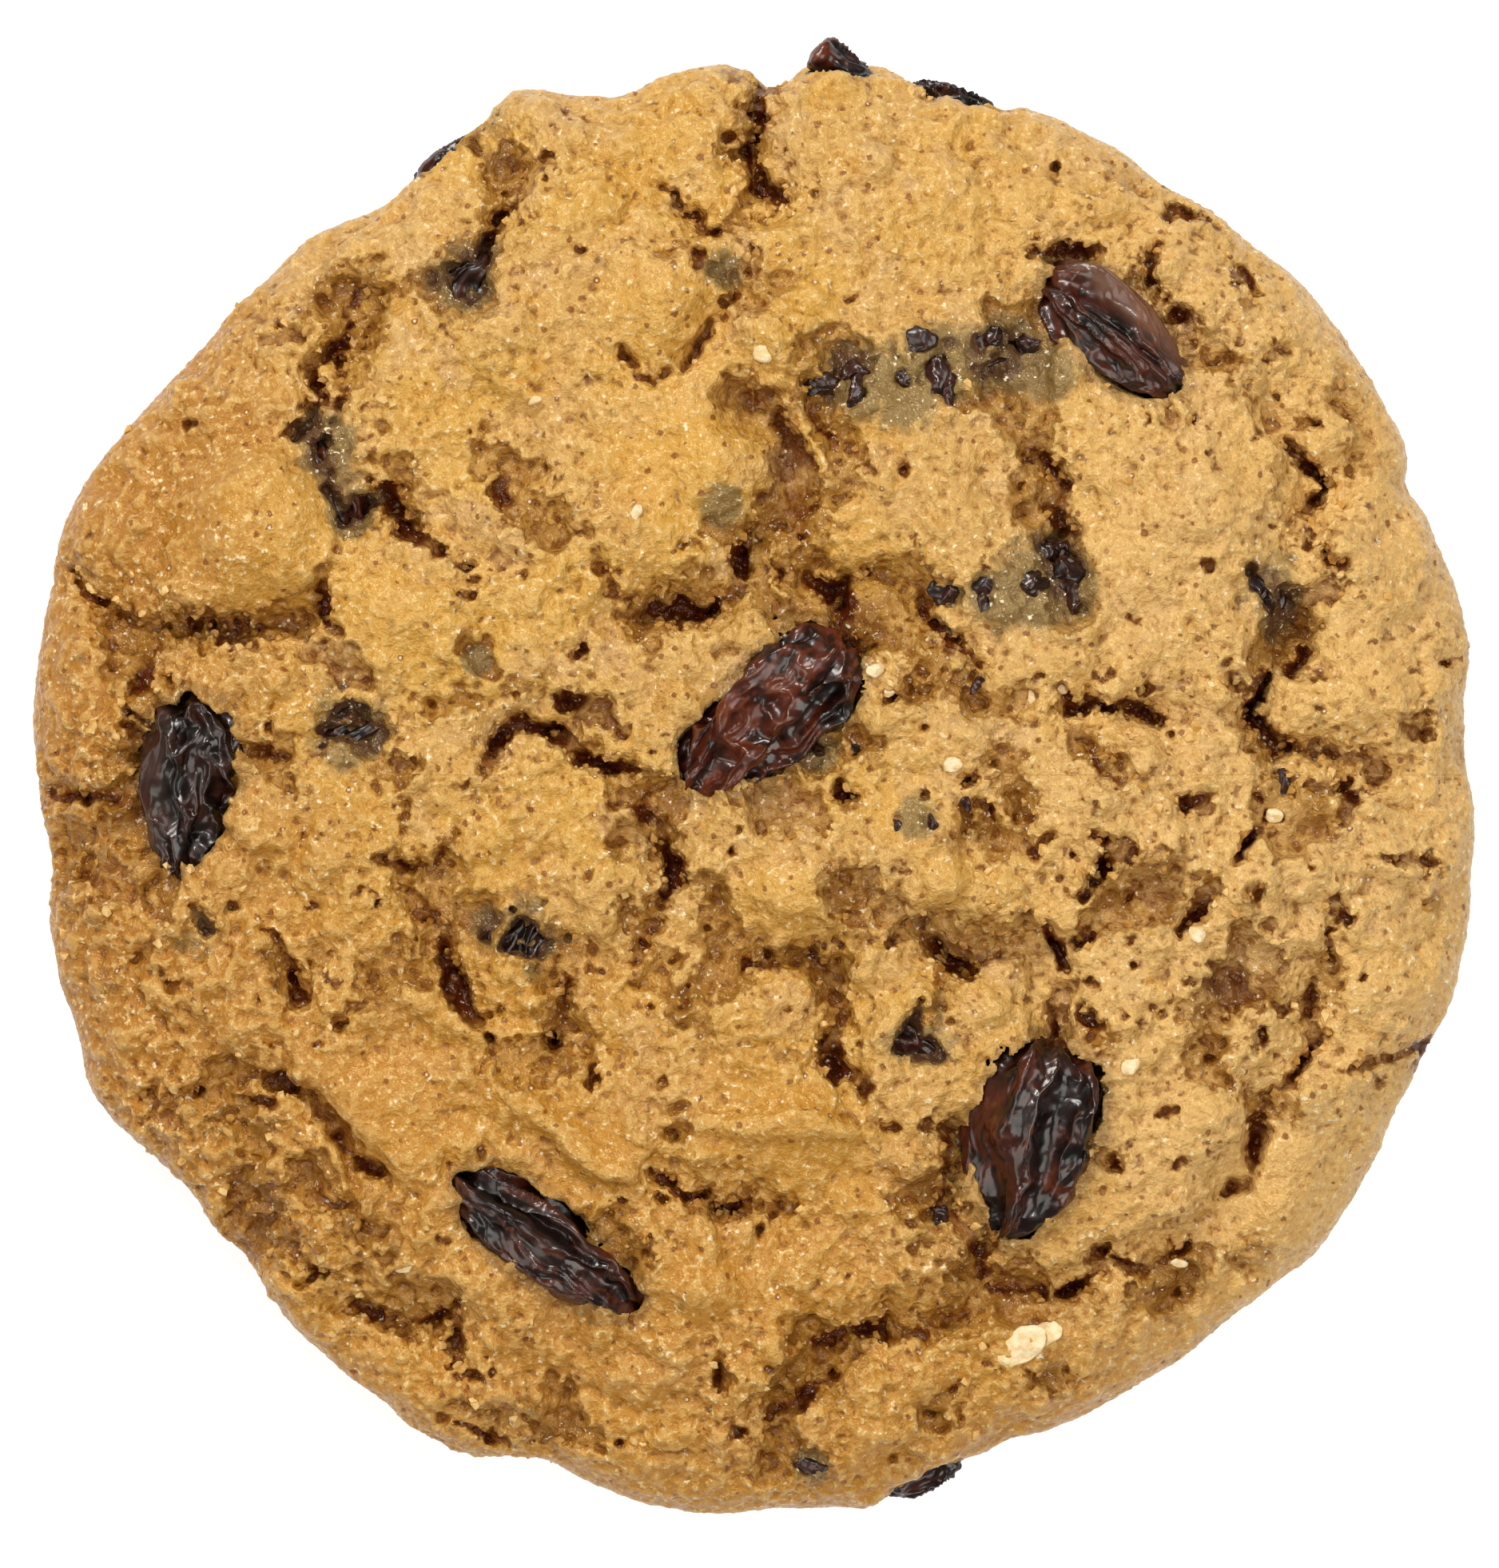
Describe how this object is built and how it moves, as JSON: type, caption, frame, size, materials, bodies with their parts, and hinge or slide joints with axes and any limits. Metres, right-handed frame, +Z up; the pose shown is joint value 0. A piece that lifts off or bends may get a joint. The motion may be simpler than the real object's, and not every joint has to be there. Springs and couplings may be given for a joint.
{
  "type": "oatmeal raisin cookie",
  "caption": "Round baked oatmeal cookie with a cracked, craggy golden top, a rounded browned rim, a flat underside and dark wrinkled raisins pressed into it.",
  "frame": {"origin": "middle of the flat underside, under the middle of the bounding box", "axes": "+Z up through the cookie, +Y towards its far edge and +X to the right when it is seen from above"},
  "size_m": [0.0844, 0.0863, 0.0134],
  "materials": {
    "dough": "matte",
    "raisin": "satin"
  },
  "bodies": {
    "root": {"dough": "dough", "raisin_1": "raisin", "raisin_2": "raisin", "raisin_3": "raisin", "raisin_4": "raisin", "raisin_5": "raisin", "rim_raisin_1": "raisin", "rim_raisin_2": "raisin", "rim_raisin_3": "raisin", "rim_raisin_4": "raisin", "sunk_raisin_1": "raisin", "sunk_raisin_2": "raisin", "sunk_raisin_3": "raisin", "sunk_raisin_4": "raisin", "sunk_raisin_5": "raisin", "sunk_raisin_6": "raisin", "sunk_raisin_7": "raisin", "sunk_raisin_8": "raisin", "sunk_raisin_9": "raisin"}
  },
  "joints": []
}
